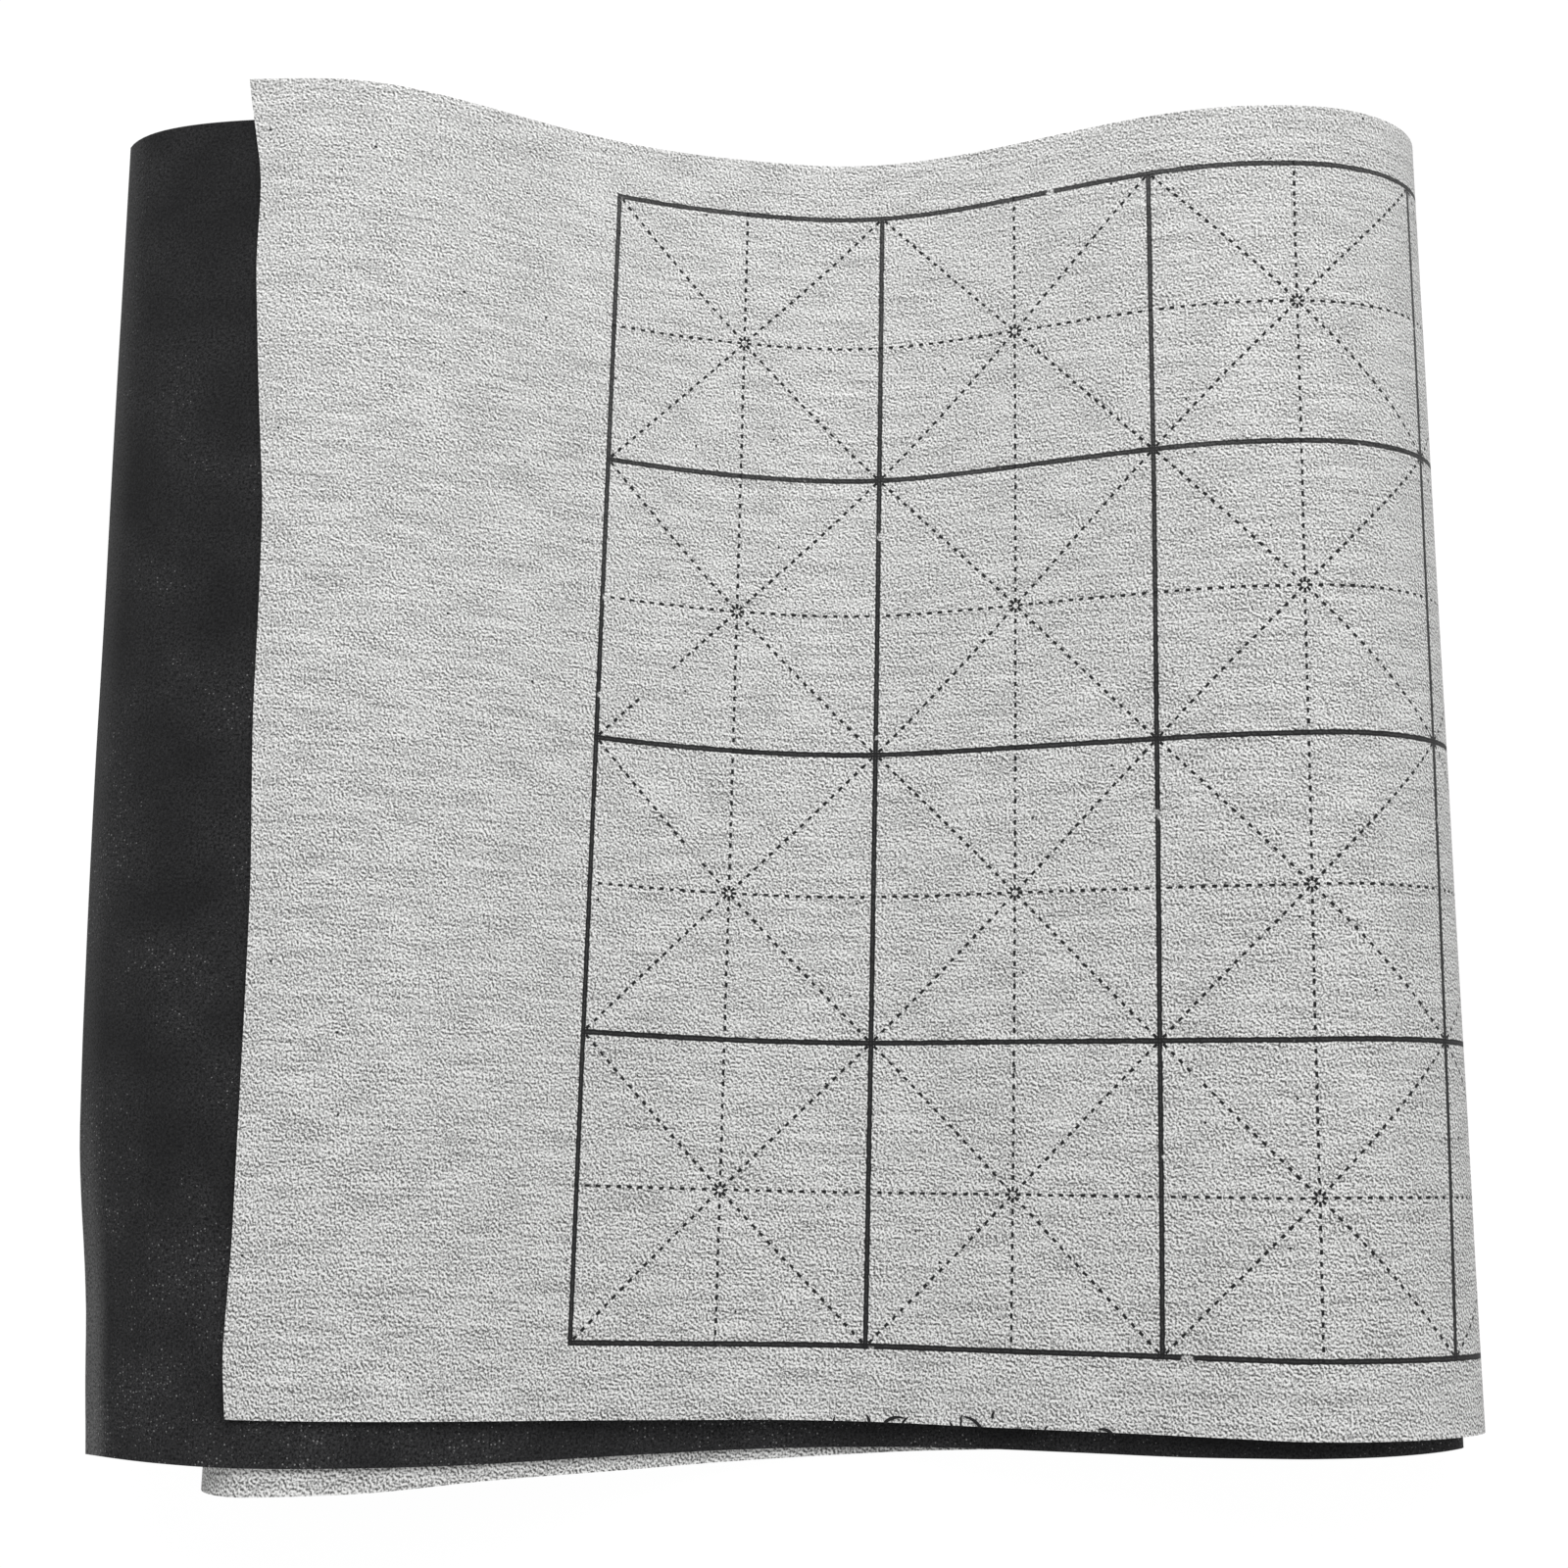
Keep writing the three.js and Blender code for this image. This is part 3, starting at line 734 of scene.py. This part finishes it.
def seam_height(context, fold, end):
    """The lowest height of the seam between a fold and the leaf next to it."""
    strip = lying_strip(context)
    across = np.linspace(0, strip.width, 60)
    s = np.full_like(across, strip.bounds[fold][end])
    return strip.place(s, across, -strip.thick / 2)[:, 2].min()


def frayed_fibres(context):
    """Ends of the backing's fibres that stand up over the top leaf's near edge, where it was cut.

    Each has its column, its root's distance from the edge, its length, its lean in degrees and its
    thickness. It leans further towards its tip, arches a little over the face and thins out.
    """
    strip = lying_strip(context)
    rings, sides = 9, 3
    t = np.linspace(0, 1, rings)
    points, faces = [], []
    for column, inset, long, lean, thick in (
        (1.07, 0, 5.5, 62, 1.3), (1.02, 0, 2.2, -20, 1.2), (1.13, 0, 2.4, 35, 0.8), (1.33, 0, 3.2, 4, 0.7),
        (1.4, 0, 5.6, -52, 1.2), (1.44, 2.6, 1.6, 8, 1), (1.3, 0, 1.5, -30, 0.7), (1.84, 0, 3.8, -66, 1.2),
        (1.62, 0, 1.4, 20, 0.6), (0.9, 0, 1.3, 10, 0.7),
    ):
        turn = math.radians(lean) * (0.7 + 0.5 * t)
        s = strip.first_column + column * strip.cut.cell + long * MM * t * np.sin(turn)
        across = strip.width - (inset - 0.2 + long * t * np.cos(turn)) * MM
        spine = strip.place(s, across, strip.thick / 2 + (0.05 + 0.5 * t * (1 - t)) * MM)
        radius = thick / 2 * MM * np.sqrt(np.clip(1 - t * t, 0.02, 1))
        along = np.gradient(spine, axis=0)
        side = unit(np.cross(along, (0, 0, 1)))
        up = unit(np.cross(side, along))
        starts = [len(points) + rings * corner for corner in range(sides)]
        for corner in range(sides):
            angle = 2 * math.pi * corner / sides + math.pi / 2
            points += (spine + radius[:, None] * (math.cos(angle) * side + math.sin(angle) * up)).tolist()
        for a, b in zip(starts, starts[1:] + starts[:1]):
            faces += [(a + k, b + k, b + k + 1, a + k + 1) for k in range(rings - 1)]
        faces += [starts[::-1], [start + rings - 1 for start in starts]]
    mesh = bpy.data.meshes.new("top_leaf_frayed_fibres")
    mesh.from_pydata(points, [], faces)
    mesh.materials.append(felt(strip, context.scene.cloth_colours))
    piece = linked("top_leaf_frayed_fibres", mesh)
    return piece


class CLOTH_OT_top_leaf(bpy.types.Operator):
    """Lay the top leaf, the ruled face that shows, with its cut end at the left."""

    bl_idname = "cloth.top_leaf"
    bl_label = "Top leaf"

    def execute(self, context):
        pair = cloth_pair(context, "top_leaf", ["top_leaf"])
        for piece in (*pair, frayed_fibres(context)):
            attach(piece, "top_leaf")
        return {"FINISHED"}


class CLOTH_OT_outer_fold(bpy.types.Operator):
    """Roll the outer fold at the right, from the top leaf down to the table."""

    bl_idname = "cloth.outer_fold"
    bl_label = "Outer fold"

    def execute(self, context):
        seam = seam_height(context, "outer_fold", 0)
        for piece in cloth_pair(context, "outer_fold", ["outer_fold"]):
            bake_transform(piece)
        return {"FINISHED"}


class CLOTH_OT_lower_cloth(bpy.types.Operator):
    """Lay the base leaf on the table, with the end fold and the inner leaf over it."""

    bl_idname = "cloth.lower_cloth"
    bl_label = "Lower leaves"

    def execute(self, context):
        for piece in cloth_pair(context, "lower", ["base_leaf", "end_fold", "inner_leaf"]):
            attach(piece, "lower_leaves")
        return {"FINISHED"}


class CLOTH_OT_inner_fold(bpy.types.Operator):
    """Roll the inner fold, which lies inside the outer one."""

    bl_idname = "cloth.inner_fold"
    bl_label = "Inner fold"

    def execute(self, context):
        seam = seam_height(context, "inner_fold", 1)
        for piece in cloth_pair(context, "inner_fold", ["inner_fold"]):
            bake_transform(piece)
        return {"FINISHED"}


class CLOTH_OT_under_leaf(bpy.types.Operator):
    """Lay the under leaf, felt side up, with its cut end drooping at the left."""

    bl_idname = "cloth.under_leaf"
    bl_label = "Under leaf"

    def execute(self, context):
        for piece in cloth_pair(context, "under_leaf", ["under_leaf"]):
            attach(piece, "under_leaf")
        return {"FINISHED"}


def looked_at(tree):
    """One for light paths on which the surroundings are looked at, straight or mirrored, and not lit by."""
    path = add_node(tree, "ShaderNodeLightPath").node.outputs
    seen = path["Is Camera Ray"]
    for way in ("Is Glossy Ray", "Is Transmission Ray"):
        seen = number_math(tree, "MAXIMUM", seen, path[way])
    return seen


def set_camera(scene):
    """The camera over the writer's edge of the cloth, looking nearly straight down."""
    camera = bpy.data.cameras.new("camera")
    camera.lens = 52.29
    camera.sensor_width = 36
    stand = linked("camera", camera)
    tilt, yaw = 0.1952, -0.0202
    right = Vector((math.cos(yaw), -math.sin(yaw), 0))
    up = Vector((math.sin(yaw) * math.cos(tilt), math.cos(yaw) * math.cos(tilt), math.sin(tilt)))
    stand.matrix_world = Matrix((right, up, right.cross(up))).transposed().to_4x4()
    stand.location = (right_crest - 129.56 * MM, far_edge - 308.5 * MM, 631.7 * MM)
    scene.camera = stand


def set_table():
    """A white table, which looks evenly white from every side and takes a faint shadow."""
    half = 4
    corners = [(-half, -half, 0), (half, -half, 0), (half, half, 0), (-half, half, 0)]
    mesh = bpy.data.meshes.new("table")
    mesh.from_pydata(corners, [], [(0, 1, 2, 3)])
    table = linked("table", mesh)
    table.location.z = -0.05 * MM
    white = bpy.data.materials.new("laminate_white_matt")
    tree = emptied(white)
    seen = number_math(tree, "MULTIPLY", looked_at(tree), 0.92)
    board = add_node(tree, "ShaderNodeBsdfDiffuse", {}, {"Color": (*linear("#f4f4f4"), 1)})
    glow = add_node(tree, "ShaderNodeEmission", {}, {"Color": (1, 1, 1, 1), "Strength": 1.05})
    mixed = add_node(tree, "ShaderNodeMixShader", {}, {0: seen, 1: board, 2: glow})
    add_node(tree, "ShaderNodeOutputMaterial", {}, {"Surface": mixed})
    mesh.materials.append(white)


def set_light(scene):
    """An even pale room, a broad window behind the cloth and a weaker lamp on the writer's side."""
    scene.world = bpy.data.worlds.new("studio")
    tree = emptied(scene.world)
    strength = ramp(tree, looked_at(tree), 0, 1, 0.45, 1)
    air = add_node(tree, "ShaderNodeBackground", {}, {"Color": (1, 1, 1, 1), "Strength": strength})
    add_node(tree, "ShaderNodeOutputWorld", {}, {"Surface": air})
    for name, place, size, watts in (
        ("window_light", (0.02, 0.74, 0.88), 1.0, 9.7),
        ("fill_light", (0.4, -0.8, 0.8), 1.0, 1.4),
    ):
        lamp = bpy.data.lights.new(name, "AREA")
        lamp.size = size
        lamp.energy = watts
        hung = linked(name, lamp)
        hung.location = place
        hung.rotation_euler = Vector(place).to_track_quat("Z", "Y").to_euler()


class CLOTH_OT_stage(bpy.types.Operator):
    """Set the camera, the white table and the soft studio light."""

    bl_idname = "cloth.stage"
    bl_label = "Stage"

    def execute(self, context):
        context.scene.view_settings.view_transform = "Standard"
        set_camera(context.scene)
        set_table()
        set_light(context.scene)
        return {"FINISHED"}


class CLOTH_PT_sidebar(bpy.types.Panel):
    """The cloth's sizes, colours and pieces."""

    bl_idname = "CLOTH_PT_sidebar"
    bl_label = "Writing Cloth"
    bl_space_type = "VIEW_3D"
    bl_region_type = "UI"
    bl_category = "Writing Cloth"

    def draw(self, context):
        for title, group in (("Cut", "cloth_cut"), ("Lie", "cloth_lie"), ("Colours", "cloth_colours")):
            box = self.layout.box()
            box.label(text=title)
            values = getattr(context.scene, group)
            for key in values.__annotations__:
                box.prop(values, key)
        for operator in operators:
            self.layout.operator(operator.bl_idname)


groups = {"cloth_cut": ClothCut, "cloth_lie": ClothLie, "cloth_colours": ClothColours}
operators = (
    CLOTH_OT_stage,
    CLOTH_OT_lower_cloth,
    CLOTH_OT_inner_fold,
    CLOTH_OT_under_leaf,
    CLOTH_OT_outer_fold,
    CLOTH_OT_top_leaf,
)


def register():
    for kind in (*groups.values(), *operators, CLOTH_PT_sidebar):
        bpy.utils.register_class(kind)
    for name, kind in groups.items():
        setattr(bpy.types.Scene, name, bpy.props.PointerProperty(type=kind))


def unregister():
    for name in groups:
        delattr(bpy.types.Scene, name)
    for kind in (CLOTH_PT_sidebar, *reversed(operators), *reversed(groups.values())):
        bpy.utils.unregister_class(kind)


def main():
    register()
    bpy.ops.cloth.stage()
    bpy.ops.cloth.lower_cloth()
    bpy.ops.cloth.inner_fold()
    bpy.ops.cloth.under_leaf()
    bpy.ops.cloth.outer_fold()
    bpy.ops.cloth.top_leaf()


if __name__ == "__main__":
    main()
